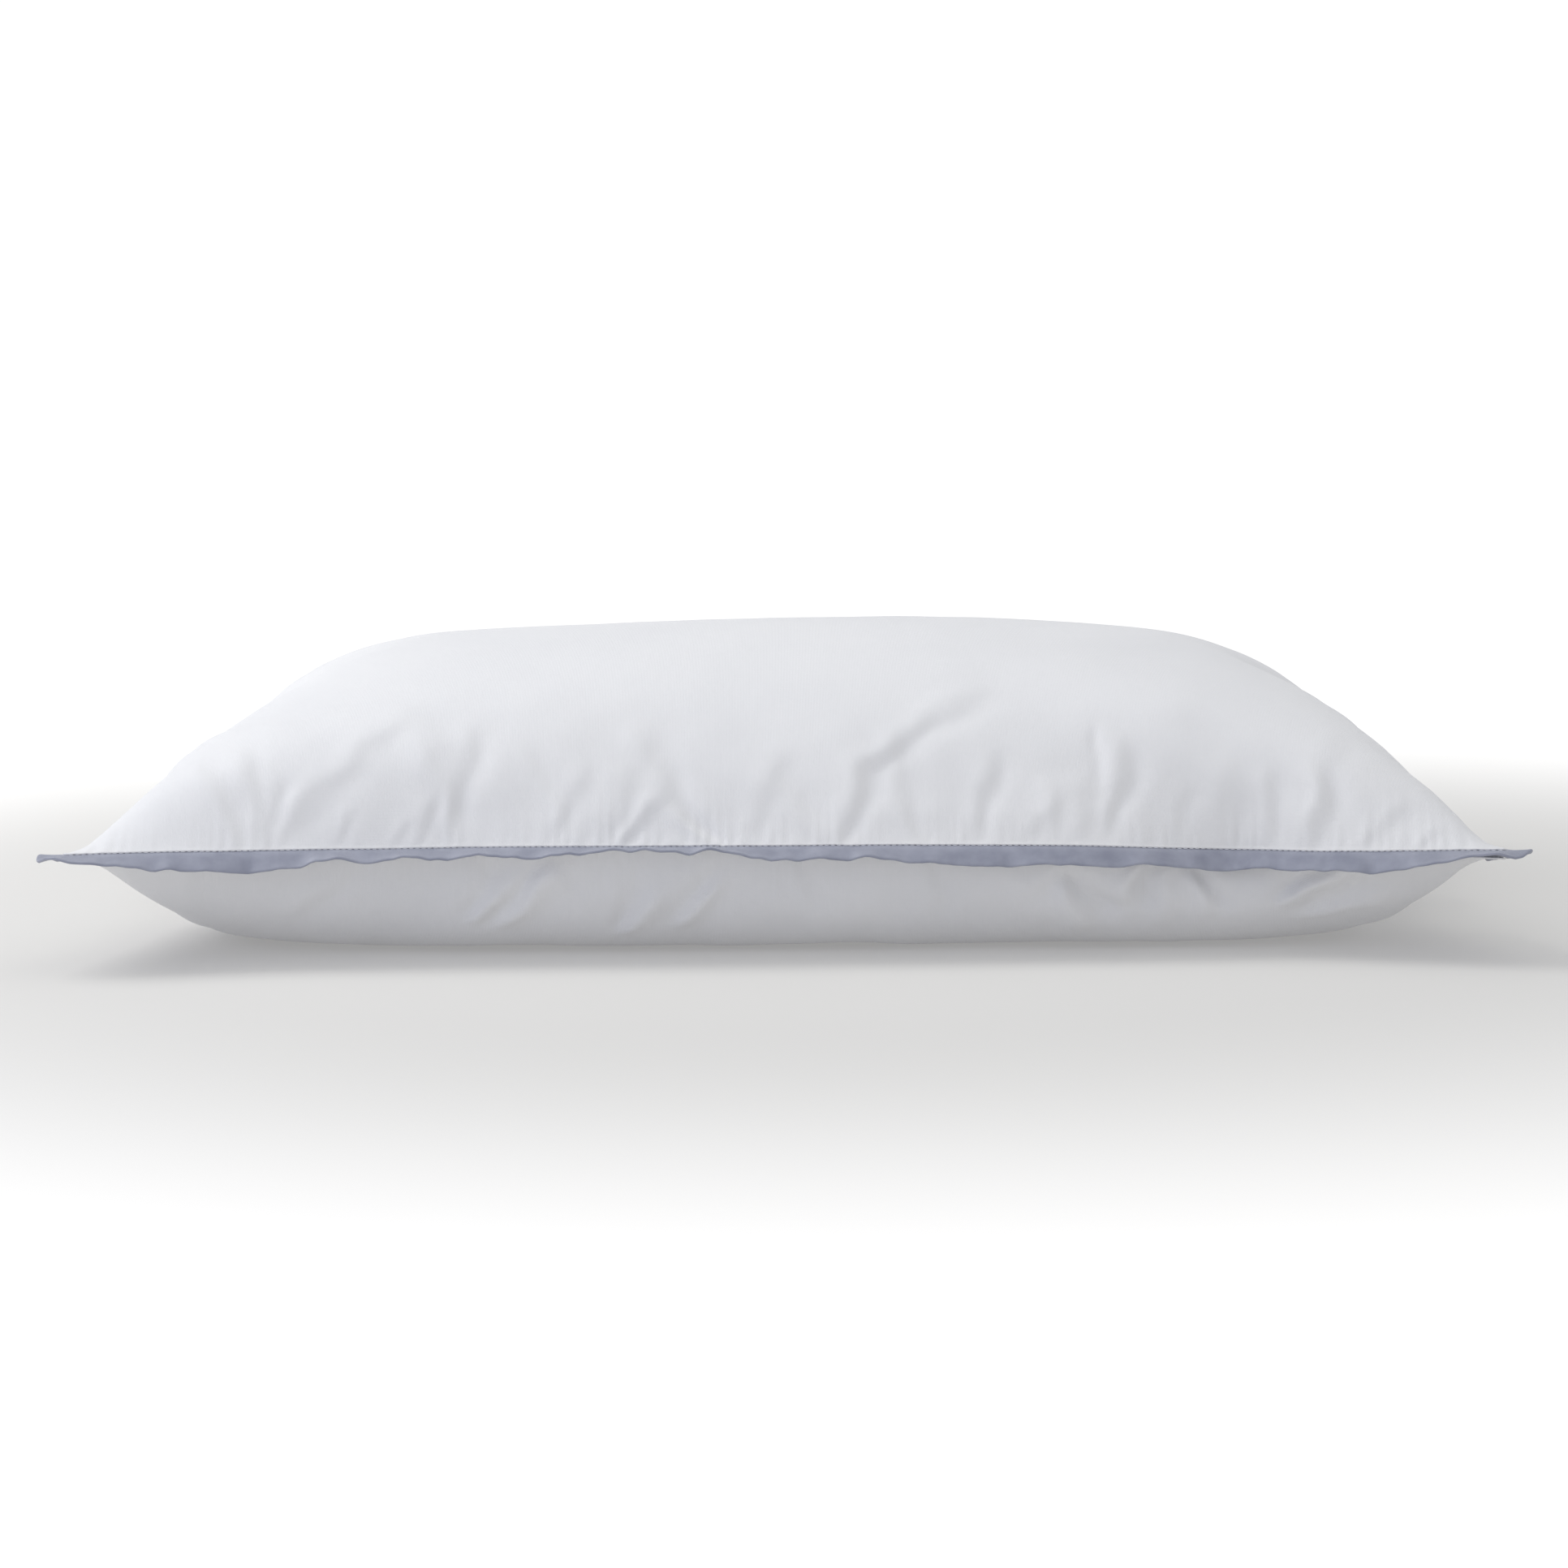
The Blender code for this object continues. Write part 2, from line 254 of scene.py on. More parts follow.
def all_creases(flat, front, seed):
    """The listed creases in front, weak chance ones among them, and chance ones on the other sides."""
    turned = flat[..., ::-1].copy()
    left, right, back = (grid.copy() for grid in (turned, turned, flat))
    left[..., 1] = flat[..., 0] + 0.5 * (FLAT_LENGTH - FLAT_WIDTH)
    right[..., 1] = -flat[..., 0] + 0.5 * (FLAT_LENGTH - FLAT_WIDTH)
    back[..., 1] *= -1
    height = creases(flat, front)
    height = height + 0.6 * creases(flat, random_strokes(count=14, span=0.66, seed=seed + 3))
    height += creases(back, random_strokes(count=16, span=0.64, seed=seed))
    height += creases(left, random_strokes(count=8, span=0.36, seed=seed + 1))
    height += creases(right, random_strokes(count=8, span=0.36, seed=seed + 2))
    return height


# ---- Simulation ----

def two_panel_mesh(upper, lower):
    """One closed mesh of both panels, which share their edge, and the vertex numbers of each panel."""
    columns, rows = upper.shape[0] - 1, upper.shape[1] - 1
    count = upper.shape[0] * upper.shape[1]
    top = np.arange(count).reshape(columns + 1, rows + 1)
    inside = np.zeros_like(top, bool)
    inside[1:-1, 1:-1] = True
    bottom = top.copy()
    bottom[inside] = count + np.arange(inside.sum())
    points = np.concatenate([upper.reshape(-1, 3), lower[inside]])
    a, b, c, d = (top[:-1, :-1], top[1:, :-1], top[1:, 1:], top[:-1, 1:])
    faces = np.stack([a, b, c, d], axis=-1).reshape(-1, 4)
    a, b, c, d = (bottom[:-1, :-1], bottom[:-1, 1:], bottom[1:, 1:], bottom[1:, :-1])
    faces = np.concatenate([faces, np.stack([a, b, c, d], axis=-1).reshape(-1, 4)])
    mesh = bpy.data.meshes.new("cloth")
    mesh.from_pydata(points.tolist(), [], faces.tolist())
    return mesh, top, bottom


def simulate():
    """Sew two flat panels at their edge, inflate them on the floor, and return both surfaces."""
    scene = bpy.context.scene
    bpy.ops.mesh.primitive_plane_add(size=4.0)
    floor = bpy.context.object
    floor.modifiers.new("collision", "COLLISION")
    floor.collision.thickness_outer = 0.002
    floor.collision.cloth_friction = 5.0

    flat = flat_grid(*COARSE)
    u, v = flat[..., 0] / (0.5 * FLAT_LENGTH), flat[..., 1] / (0.5 * FLAT_WIDTH)
    start_height, first_bulge = 0.06, 0.004
    dome = first_bulge * (1 - u * u) * (1 - v * v)
    start = [np.dstack([flat, start_height + side * dome]) for side in (1, -1)]
    mesh, top, bottom = two_panel_mesh(*start)
    cloth = bpy.data.objects.new("cloth", mesh)
    scene.collection.objects.link(cloth)
    seam = top[edge_distance(flat) < 1e-6]
    cloth.vertex_groups.new(name="seam").add([int(number) for number in seam], 1.0, "REPLACE")

    frames = 30
    modifier = cloth.modifiers.new("cloth", "CLOTH")
    settings = modifier.settings
    settings.quality = 6
    settings.mass = 0.055
    settings.air_damping = 1.0
    settings.tension_stiffness = 30.0
    settings.compression_stiffness = 15.0
    settings.shear_stiffness = 5.0
    settings.bending_model = "ANGULAR"
    settings.bending_stiffness = 0.5
    settings.bending_stiffness_max = 5.0
    settings.vertex_group_bending = "seam"
    settings.use_pressure = True
    settings.uniform_pressure_force = 15.0
    modifier.collision_settings.distance_min = 0.002
    modifier.collision_settings.use_self_collision = False
    modifier.point_cache.frame_start = 1
    modifier.point_cache.frame_end = frames + 1
    scene.frame_end = frames + 1
    for number in range(1, frames + 1):
        scene.frame_set(number)
    shape = cloth.evaluated_get(bpy.context.evaluated_depsgraph_get()).data
    points = np.empty(3 * len(shape.vertices))
    shape.vertices.foreach_get("co", points)
    points = points.reshape(-1, 3)
    bpy.data.objects.remove(cloth)
    bpy.data.objects.remove(floor)
    scene.frame_set(1)
    return points[top], points[bottom]


# ---- Finishing: fit to the frame, then meshes from the arrays ----

def fit_to_frame(upper, lower):
    """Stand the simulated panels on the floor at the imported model's length, width and height."""
    low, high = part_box("upper_ticking")
    both = np.concatenate([upper.reshape(-1, 3), lower.reshape(-1, 3)])
    middle = 0.5 * (both.min(axis=0) + both.max(axis=0))
    middle[2] = both[:, 2].min()
    size = both.max(axis=0) - both.min(axis=0)
    wanted = np.array([high[0] - low[0], high[1] - low[1], CAD_HIGH[2] - CAD_LOW[2]])
    return (upper - middle) * wanted / size, (lower - middle) * wanted / size


def border_of(grid):
    """Points round the edge of a grid, anticlockwise from above, from the front left corner."""
    return np.concatenate([grid[:-1, 0], grid[-1, :-1], grid[:0:-1, -1], grid[0, :0:-1]])


def outward(loop, softness=2):
    """Level unit directions out from a closed loop of points."""
    along = np.roll(loop, -softness, axis=0) - np.roll(loop, softness, axis=0)
    out = np.stack([along[:, 1], -along[:, 0], np.zeros(len(loop))], axis=-1)
    return out / np.linalg.norm(out, axis=-1, keepdims=True)


def mesh_object(name, points, faces, surface_material, flat=None):
    """A smooth-shaded object.  flat, the cloth's own coordinates in metres, goes with it as an attribute."""
    mesh = bpy.data.meshes.new(name)
    mesh.from_pydata(np.asarray(points).tolist(), [], np.asarray(faces).tolist())
    if flat is not None:
        attribute = mesh.attributes.new("flat", "FLOAT_VECTOR", "POINT")
        padded = np.zeros((len(points), 3), dtype=np.float32)
        padded[:, :flat.shape[1]] = flat
        attribute.data.foreach_set("vector", padded.ravel())
    mesh.shade_smooth()
    mesh.materials.append(surface_material)
    thing = bpy.data.objects.new(name, mesh)
    bpy.context.scene.collection.objects.link(thing)
    return thing


def grid_faces(columns, rows, flip=False, first=0):
    """Quads over a grid of points numbered row by row within each column."""
    number = first + np.arange((columns + 1) * (rows + 1)).reshape(columns + 1, rows + 1)
    corners = [number[:-1, :-1], number[1:, :-1], number[1:, 1:], number[:-1, 1:]]
    if flip:
        corners.reverse()
    return np.stack(corners, axis=-1).reshape(-1, 4)


def ring_faces(rings, count, first=0, flip=False):
    """Quads between successive closed rings of count points."""
    number = first + np.arange(rings * count).reshape(rings, count)
    following = np.roll(number, -1, axis=1)
    corners = [number[:-1], following[:-1], following[1:], number[1:]]
    if flip:
        corners.reverse()
    return np.stack(corners, axis=-1).reshape(-1, 4)


def place(thing, material_slot, *nodes):
    """Ride on the pillow's one body and stand for the nodes.  material_slot is not used."""
    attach(thing, BODY)
    if nodes:
        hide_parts(*nodes)
    return thing


# ---- Ticking panels ----

def puckers(flat, seed):
    """Small gathers that the stitching draws up beside the seam, across it and fading away from it."""
    away = edge_distance(flat)
    long_side = 0.5 * FLAT_WIDTH - abs(flat[..., 1]) < 0.5 * FLAT_LENGTH - abs(flat[..., 0])
    along = np.where(long_side, flat[..., 0], flat[..., 1])
    side = np.where(long_side, np.sign(flat[..., 1]), 2 * np.sign(flat[..., 0]))
    place_on_edge = np.dstack([along, side])
    reach = 0.011 + 0.008 * bumps(place_on_edge, 0.016, seed)
    phase = along / PUCKER_PITCH + 1.6 * bumps(place_on_edge, 0.02, seed + 1)
    strength = np.clip(0.6 + 1.1 * bumps(place_on_edge, 0.045, seed + 2), 0.05, 1.2)
    fade = np.exp(-away / reach) * np.clip(away / 0.002, 0.25, 1.0)
    return PUCKER_HEIGHT * strength * np.sin(2 * math.pi * phase) * fade


def add_panel(name, grid, flat, up, surface_material):
    """One ticking panel, whose edge turns under and runs back inside the seam as its allowance."""
    grid = grid + normals(grid, up) * puckers(flat, 20.0 + up)[..., None]
    stand_off, spread = FLANGE_HALF_THICKNESS + 2.5 * CLOTH, 0.005
    grid[..., 2] += up * stand_off * np.exp(-edge_distance(flat) / spread)
    edge, flat_edge = border_of(grid), border_of(flat)
    out = outward(edge)
    vertical = np.array([0.0, 0.0, float(up)])
    rings = [edge + out * outwards - vertical * behind for outwards, behind, _ in TURN_UNDER]
    columns, rows = grid.shape[0] - 1, grid.shape[1] - 1
    count = grid.shape[0] * grid.shape[1]
    number = np.arange(count).reshape(grid.shape[:2])
    ring_numbers = [border_of(number[..., None])[:, 0]]
    for k in range(len(rings)):
        ring_numbers.append(count + k * len(edge) + np.arange(len(edge)))
    faces = [grid_faces(columns, rows, flip=up < 0)]
    for inner, outer in zip(ring_numbers[:-1], ring_numbers[1:]):
        corners = [inner, outer, np.roll(outer, -1), np.roll(inner, -1)]
        if up < 0:
            corners.reverse()
        faces.append(np.stack(corners, axis=-1))
    points = np.concatenate([grid.reshape(-1, 3), *rings])
    flat_rings = [flat_edge + out[:, :2] * beyond for _, _, beyond in TURN_UNDER]
    flats = np.concatenate([flat.reshape(-1, 2), *flat_rings])
    return mesh_object(name, points, np.concatenate(faces), surface_material, flats)


# ---- Flange ----

def seam_path(upper):
    """The seam as a closed path, its corners eased and its points crowded where it turns."""
    loop = border_of(upper)
    for _ in range(3):
        loop = 0.5 * loop + 0.25 * (np.roll(loop, 1, axis=0) + np.roll(loop, -1, axis=0))
    count, crowding = 1100, 0.020
    step = np.linalg.norm(np.roll(loop, -1, axis=0) - loop, axis=1)
    out = outward(loop, 1)
    heading = np.arctan2(out[:, 1], out[:, 0])
    turn = abs((np.roll(heading, -1) - heading + math.pi) % (2 * math.pi) - math.pi)
    weight = np.concatenate([[0.0], np.cumsum(step + crowding * turn)])
    even = np.linspace(0.0, weight[-1], count, endpoint=False)
    closed = np.concatenate([loop, loop[:1]])
    return np.stack([np.interp(even, weight, closed[:, k]) for k in range(3)], axis=-1)


# How far the flange's free edge hangs below the seam along the front: place along the seam, millimetres down
FRONT_HANG = [
    (-0.355, 3.0), (-0.346, 6.5), (-0.316, 8.5), (-0.295, 8.3), (-0.272, 10.7), (-0.262, 10.5),
    (-0.250, 7.5), (-0.238, 5.5), (-0.225, 4.7), (-0.212, 5.8), (-0.192, 3.8), (-0.171, 5.3),
    (-0.164, 5.6), (-0.158, 1.4), (-0.150, 3.2), (-0.131, 5.8), (-0.110, 3.0), (-0.098, 1.4),
    (-0.082, 2.2), (-0.068, 1.2), (-0.048, 2.8), (-0.036, 1.4), (-0.027, 2.6), (-0.016, 5.0),
    (-0.002, 6.4), (0.014, 5.4), (0.030, 7.0), (0.044, 4.8), (0.062, 7.4), (0.097, 9.8),
    (0.148, 8.8), (0.169, 9.8), (0.180, 7.2), (0.210, 10.0), (0.232, 9.8), (0.251, 7.8),
    (0.262, 9.0), (0.282, 8.4), (0.299, 10.8), (0.314, 8.2), (0.330, 7.8), (0.344, 4.5),
    (0.355, 2.5),
]
HANG_MARGIN = 1.6                # millimetres of it that the strip's own thickness and slant already show


def wobble(length, size, lane, depth):
    """Smooth noise from -1 to 1 along the seam, with waves about as long as size."""
    return np.array([noise.noise(Vector((s / size, lane, depth))) for s in length])


def bend_share(t):
    """How much of its full slope the strip has at a distance t out from the seam."""
    return np.clip(t / 0.007, 0.0, 1.0) ** 0.8


def droop_angles(path):
    """The slope of the free edge along the seam, as listed in front and random elsewhere.

    Also returns how far along the seam each point is, and how near it is to a corner, from 0 to 1.
    """
    slopes = np.radians(np.arange(-30.0, 100.0))
    out = np.linspace(0.0, FLANGE_WIDTH, 60)
    drops = np.sin(slopes[:, None] * bend_share(out)[None]).mean(axis=1) * FLANGE_WIDTH * 1000
    length = np.concatenate([[0.0], np.cumsum(np.linalg.norm(np.diff(path, axis=0), axis=1))])
    places, hangs = zip(*FRONT_HANG)
    upright = 121                # entries up to a slope of 90 degrees
    wanted = np.interp(path[:, 0], places, hangs) - HANG_MARGIN
    listed = np.interp(wanted, drops[:upright], np.degrees(slopes)[:upright])
    typical, swing = 42, 38
    free = typical + swing * (wobble(length, 0.055, 4.0, 0.0) + 0.4 * wobble(length, 0.022, 9.0, 0.0))
    front_y, front_end, blend, corner_size = -0.17, 0.352, 0.006, 0.026
    is_front = path[:, 1] < front_y
    front_share = np.clip((front_end - abs(path[:, 0])) / blend, 0.0, 1.0) * is_front
    plan = abs(path[:, :2])
    corner = np.exp(-(np.linalg.norm(plan - plan.max(axis=0), axis=1) / corner_size) ** 2)
    angle = listed * front_share + free * (1 - front_share)
    angle = angle * (1 - corner) + CORNER_SLOPE * corner
    for _ in range(3):
        angle = 0.5 * angle + 0.25 * (np.roll(angle, 1) + np.roll(angle, -1))
    return np.radians(angle), length, corner


def add_flange(path, surface_material):
    """The folded satin strip: two plies with a round fold at the free edge, sewn in by its allowance."""
    out = outward(path, 2)
    up = np.array([0.0, 0.0, 1.0])
    end_angle, length, corner = droop_angles(path)
    sewn_in = [-FLANGE_ALLOWANCE, -0.5 * FLANGE_ALLOWANCE]
    across = np.concatenate([sewn_in, np.linspace(0.0, FLANGE_WIDTH, 11)])
    width_share = 1.0 + EAR_STRETCH * corner
    centre, tilt = [], []
    here = path - out * FLANGE_ALLOWANCE
    before = across[0]
    for t in across:
        angle = end_angle * bend_share(t)
        forward = out * np.cos(angle)[:, None] - up * np.sin(angle)[:, None]
        here = here + forward * ((t - before) * width_share)[:, None]
        before = t
        centre.append(here)
        tilt.append(out * np.sin(angle)[:, None] + up * np.cos(angle)[:, None])
    heading = np.arctan2(out[:, 1], out[:, 0])
    ripples = wobble(length, 0.018, 2.0, 7.0) + 0.5 * wobble(length, 0.008, 5.0, 1.0)
    pleats = RIPPLE * ripples * (1.0 - corner) - EAR_CURL * np.sin(4.0 * heading) * corner
    rings_top, rings_bottom = [], []
    for t, middle, normal in zip(across, centre, tilt):
        share = np.clip(t / FLANGE_WIDTH, 0.0, 1.0)
        plump = FLANGE_HALF_THICKNESS * (1.0 + 0.5 * share ** 3)
        lift = (pleats * share ** 1.5)[:, None]
        rings_top.append(middle + normal * (plump + lift))
        rings_bottom.append(middle + normal * (-plump + lift))
    last, normal = centre[-1], tilt[-1]
    forward = np.cross(np.cross(up, out), normal)
    forward /= np.linalg.norm(forward, axis=1, keepdims=True)
    forward *= np.sign((forward * out).sum(axis=1, keepdims=True))
    plump = 1.5 * FLANGE_HALF_THICKNESS
    lift = pleats[:, None]
    fold = [last + normal * (lift + plump * math.cos(a)) + forward * plump * math.sin(a)
            for a in np.radians((40, 80, 120, 150))]
    rings = rings_top + fold + rings_bottom[::-1]
    rings.append(rings_top[0])
    count = len(path)
    points = np.concatenate(rings[:-1])
    faces = ring_faces(len(rings) - 1, count)
    closing = np.stack([
        (len(rings) - 2) * count + np.arange(count),
        (len(rings) - 2) * count + np.roll(np.arange(count), -1),
        np.roll(np.arange(count), -1),
        np.arange(count),
    ], axis=-1)
    fold_step, fold_girth = 0.0004, 0.002
    over_fold = FLANGE_WIDTH + fold_step * np.arange(1, 5)
    lower_ply = FLANGE_WIDTH + fold_girth - across[::-1] + FLANGE_WIDTH
    girth = np.concatenate([across, over_fold, lower_ply])
    flats = np.stack([np.tile(length, len(girth)), np.repeat(girth, count)], axis=-1)
    faces = np.concatenate([faces, closing])[:, ::-1]
    return mesh_object("satin_strip", points, faces, surface_material, flats)


# ---- Stitches ----

def stitch_mesh(name, centres, along, surface_material, length=STITCH_LENGTH, radius=STITCH_RADIUS):
    """Separate stitches, each a short plump length of thread with tapered ends."""
    around, stations = 6, (-1.0, -0.8, -0.4, 0.4, 0.8, 1.0)
    swell = (0.15, 0.75, 1.0, 1.0, 0.75, 0.15)
    side = np.cross(along, (0.0, 0.0, 1.0))
    side /= np.linalg.norm(side, axis=1, keepdims=True)
    lift = np.cross(side, along)
    rings = []
    for station, share in zip(stations, swell):
        for k in range(around):
            angle = 2 * math.pi * k / around
            arm = side * math.cos(angle) + lift * math.sin(angle)
            rings.append(centres + along * (0.5 * length * station) + arm * radius * share)
    points = np.stack(rings, axis=1).reshape(-1, 3)
    per = around * len(stations)
    faces = []
    for j in range(len(stations) - 1):
        for k in range(around):
            n = (k + 1) % around
            faces.append((j * around + k, j * around + n, (j + 1) * around + n, (j + 1) * around + k))
    single = np.array(faces)
    faces = (single[None] + per * np.arange(len(centres))[:, None, None]).reshape(-1, 4).tolist()
    for i in range(len(centres)):
        faces.append([i * per + k for k in range(around)][::-1])
        faces.append([i * per + per - around + k for k in range(around)])
    mesh = bpy.data.meshes.new(name)
    mesh.from_pydata(points.tolist(), [], faces)
    mesh.shade_smooth()
    mesh.materials.append(surface_material)
    thing = bpy.data.objects.new(name, mesh)
    bpy.context.scene.collection.objects.link(thing)
    return thing


def evenly(path, pitch, closed=True):
    """Points at even spacing along a path, and the direction of the path at each."""
    line = np.concatenate([path, path[:1]]) if closed else path
    length = np.concatenate([[0.0], np.cumsum(np.linalg.norm(np.diff(line, axis=0), axis=1))])
    count = int(length[-1] / pitch)
    where = np.arange(count) * length[-1] / count
    points = np.stack([np.interp(where, length, line[:, k]) for k in range(3)], axis=-1)
    ahead = np.stack([np.interp(where + 0.0005, length, line[:, k]) for k in range(3)], axis=-1)
    along = ahead - points
    return points, along / np.maximum(np.linalg.norm(along, axis=1, keepdims=True), 1e-9)


def add_seam_stitches(path, surface_material):
    """The lockstitch: needle thread beside the upper panel's edge, bobbin thread beside the lower one's."""
    points, along = evenly(path, STITCH_PITCH)
    out = np.stack([along[:, 1], -along[:, 0], np.zeros(len(along))], axis=-1)
    beside, beyond_edge = FLANGE_HALF_THICKNESS + 0.6 * STITCH_RADIUS, 0.0009
    pieces = []
    for name, side in (("needle_stitches", 1), ("bobbin_stitches", -1)):
        centres = points + out * beyond_edge + np.array([0.0, 0.0, side * beside])
        pieces.append(stitch_mesh(name, centres, along, surface_material))
    return pieces


def add_closing_stitches(upper, surface_material):
    """Top stitching through the folded edges of the filling gap, in the back long seam."""
    columns = upper.shape[0] - 1
    gap = slice(*(int(share * columns) for share in FILLING_GAP))
    row = -3                     # the third line of cloth points in from the edge
    line = upper[gap, row] + normals(upper, 1)[gap, row] * (0.5 * STITCH_RADIUS)
    points, along = evenly(line, STITCH_PITCH, closed=False)
    return stitch_mesh("closing_stitches", points[:-1], along[:-1], surface_material)


# ---- Care label ----

def add_label(path, surface_material):
    """A blank woven tab, folded double, caught in the back seam under the flange and hanging down."""
    low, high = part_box("care_label")
    half_width, middle_x = 0.5 * (high[0] - low[0]), 0.5 * (high[0] + low[0])
    across, down = 24, 36
    back = path[path[:, 1] > 0.17]
    back = back[np.argsort(back[:, 0])]
    x = middle_x + np.linspace(-1, 1, across + 1) * half_width
    seam_y = np.interp(x, back[:, 0], back[:, 1])
    seam_z = np.interp(x, back[:, 0], back[:, 2])
    drop = high[2] - low[2]
    t = np.linspace(0.0, 1.0, down + 1)
    half_thickness, first_fall = 0.00018, 0.0011
    out = -0.0012 + 0.0052 * np.sqrt(t) + 0.0020 * t ** 3
    fall = first_fall + (drop - first_fall) * t ** 1.35
    curl = 0.0012 * np.outer(np.cos(np.linspace(-1, 1, across + 1) * 2.2), t ** 2)
    sides = []
    for offset in (half_thickness, -half_thickness):
        sides.append(np.dstack([
            np.repeat(x[:, None], down + 1, axis=1),
            seam_y[:, None] + out[None] + curl + offset,
            seam_z[:, None] - fall[None],
        ]))
    front, rear = sides
    count = (across + 1) * (down + 1)
    number = np.arange(count).reshape(across + 1, down + 1)
    faces = [grid_faces(across, down), grid_faces(across, down, flip=True, first=count)]
    rim = border_of(number[..., None])[:, 0]
    following = np.roll(rim, -1)
    faces.append(np.stack([rim, rim + count, following + count, following], axis=-1))
    flat_x = np.linspace(-half_width, half_width, across + 1)
    flat = np.stack(np.meshgrid(flat_x, drop * t, indexing="ij"), axis=-1)
    flats = np.concatenate([flat.reshape(-1, 2)] * 2)
    points = np.concatenate([front.reshape(-1, 3), rear.reshape(-1, 3)])
    return mesh_object("care_tab", points, np.concatenate(faces)[:, ::-1], surface_material, flats)


# ---- Filling and inner ticking, nested inside the cloth before it is dented and creased ----

def smooth(grid, times):
    """Relax a grid of points without moving its edge."""
    grid = grid.copy()
    for _ in range(times):
        inner = grid[:-2, 1:-1] + grid[2:, 1:-1] + grid[1:-1, :-2] + grid[1:-1, 2:]
        grid[1:-1, 1:-1] = 0.25 * inner
    return grid


def nested(grid, reach, share, lift):
    """A surface inside grid: its plan scaled and its corners rounded, its height above the seam shared."""
    columns, rows = grid.shape[0] - 1, grid.shape[1] - 1
    u = np.linspace(-1, 1, columns + 1)[:, None]
    v = np.linspace(-1, 1, rows + 1)[None]
    long_seams = 0.5 * (grid[:, :1, 2] + grid[:, -1:, 2])
    end_seams = 0.5 * (grid[:1, :, 2] + grid[-1:, :, 2])
    seam = long_seams * v ** 2 + end_seams * (1 - v ** 2)
    rounding = 4.0 * (1.0 - reach)
    result = grid.copy()
    result[..., 0] *= reach * np.sqrt(1 - rounding * v * v * u ** 4)
    result[..., 1] *= reach * np.sqrt(1 - rounding * u * u * v ** 4)
    result[..., 2] = seam + lift + (grid[..., 2] - seam) * share
    return result


def lumpy(grid, up, size, height, seed):
    """The surface with clumps of filling in it, most of them sunk so that they stay clear of the cloth."""
    columns, rows = grid.shape[0] - 1, grid.shape[1] - 1
    flat = flat_grid(columns, rows)
    fade = np.clip(edge_distance(flat) / 0.03, 0, 1)
    lumps = bumps(flat, size, seed) + 0.5 * bumps(flat, 0.4 * size, seed + 1)
    return grid + normals(grid, up) * (height * fade * (lumps - 0.8))[..., None]


def block(name, top, bottom, surface_material):
    """A closed body between two grids."""
    columns, rows = top.shape[0] - 1, top.shape[1] - 1
    count = (columns + 1) * (rows + 1)
    rim = border_of(np.arange(count).reshape(columns + 1, rows + 1)[..., None])[:, 0]
    following = np.roll(rim, -1)
    faces = [
        grid_faces(columns, rows),
        grid_faces(columns, rows, flip=True, first=count),
        np.stack([rim, rim + count, following + count, following], axis=-1),
    ]
    points = np.concatenate([top.reshape(-1, 3), bottom.reshape(-1, 3)])
    flats = np.concatenate([flat_grid(columns, rows).reshape(-1, 2)] * 2)
    return mesh_object(name, points, np.concatenate(faces), surface_material, flats)


def add_inside(upper, lower, down_material, feather_material, lining_material, thread_material):
    """Two down fills, the lined feather core between them, and the seam of the lining."""
    upper, lower = smooth(finer(upper, (2, 2)), 12), smooth(finer(lower, (2, 2)), 12)
    above = lumpy(nested(upper, *UPPER_DOWN_OUTSIDE), 1, size=0.030, height=0.0022, seed=31.0)
    upper_down = block("upper_down", above, nested(upper, *UPPER_DOWN_INSIDE), down_material)
    below = lumpy(nested(lower, *LOWER_DOWN_OUTSIDE), -1, size=0.030, height=0.0015, seed=33.0)
    lower_down = block("lower_down", nested(lower, *LOWER_DOWN_INSIDE), below, down_material)
    above = lumpy(nested(upper, *CORE_TOP), 1, size=0.020, height=0.0015, seed=35.0)
    below = lumpy(nested(lower, *CORE_UNDERSIDE), -1, size=0.020, height=0.0015, seed=37.0)
    core = block("feather_block", above, below, feather_material)
    place(upper_down, "down", "upper_down_fill")
    place(lower_down, "down", "lower_down_fill")
    place(core, "feather", "feather_core")

    for name, grid, side in (("upper", upper, 1), ("lower", lower, -1)):
        surface = nested(grid, LINING_REACH, LINING_SHARE, side * LINING_LIFT)
        columns, rows = surface.shape[0] - 1, surface.shape[1] - 1
        flats = flat_grid(columns, rows).reshape(-1, 2)
        faces = grid_faces(columns, rows, flip=side < 0)
        panel = mesh_object("lining_" + name, surface.reshape(-1, 3), faces, lining_material, flats)
        thickness = panel.modifiers.new("thickness", "SOLIDIFY")
        thickness.thickness = CLOTH
        thickness.offset = -1.0
        place(panel, "inner_cotton", "inner_ticking_" + name)

    pitch, length, slant = 0.004, 0.0036, 0.8
    points, along = evenly(border_of(nested(upper, *LINING_SEAM)), pitch)
    lean = np.stack([along[:, 1], -along[:, 0], np.zeros(len(along))], axis=-1)
    slanted = along + slant * lean
    slanted /= np.linalg.norm(slanted, axis=1, keepdims=True)
    overcast = stitch_mesh("lining_stitches", points, slanted, thread_material, length=length)
    place(overcast, "cotton_thread", "inner_seam_thread")


# ---- Materials ----

def new_material(name, roughness, sheen, specular=0.4):
    """A Principled material; returns it with its node tree, shader and a coordinate in flat cloth metres."""
    made = bpy.data.materials.new(name)
    made.use_nodes = True
    tree = made.node_tree
    shader = tree.nodes["Principled BSDF"]
    shader.inputs["Roughness"].default_value = roughness
    shader.inputs["Sheen Weight"].default_value = sheen
    shader.inputs["Sheen Roughness"].default_value = 0.4
    shader.inputs["Specular IOR Level"].default_value = specular
    flat = tree.nodes.new("ShaderNodeAttribute")
    flat.attribute_name = "flat"
    return made, tree, shader, flat.outputs["Vector"]


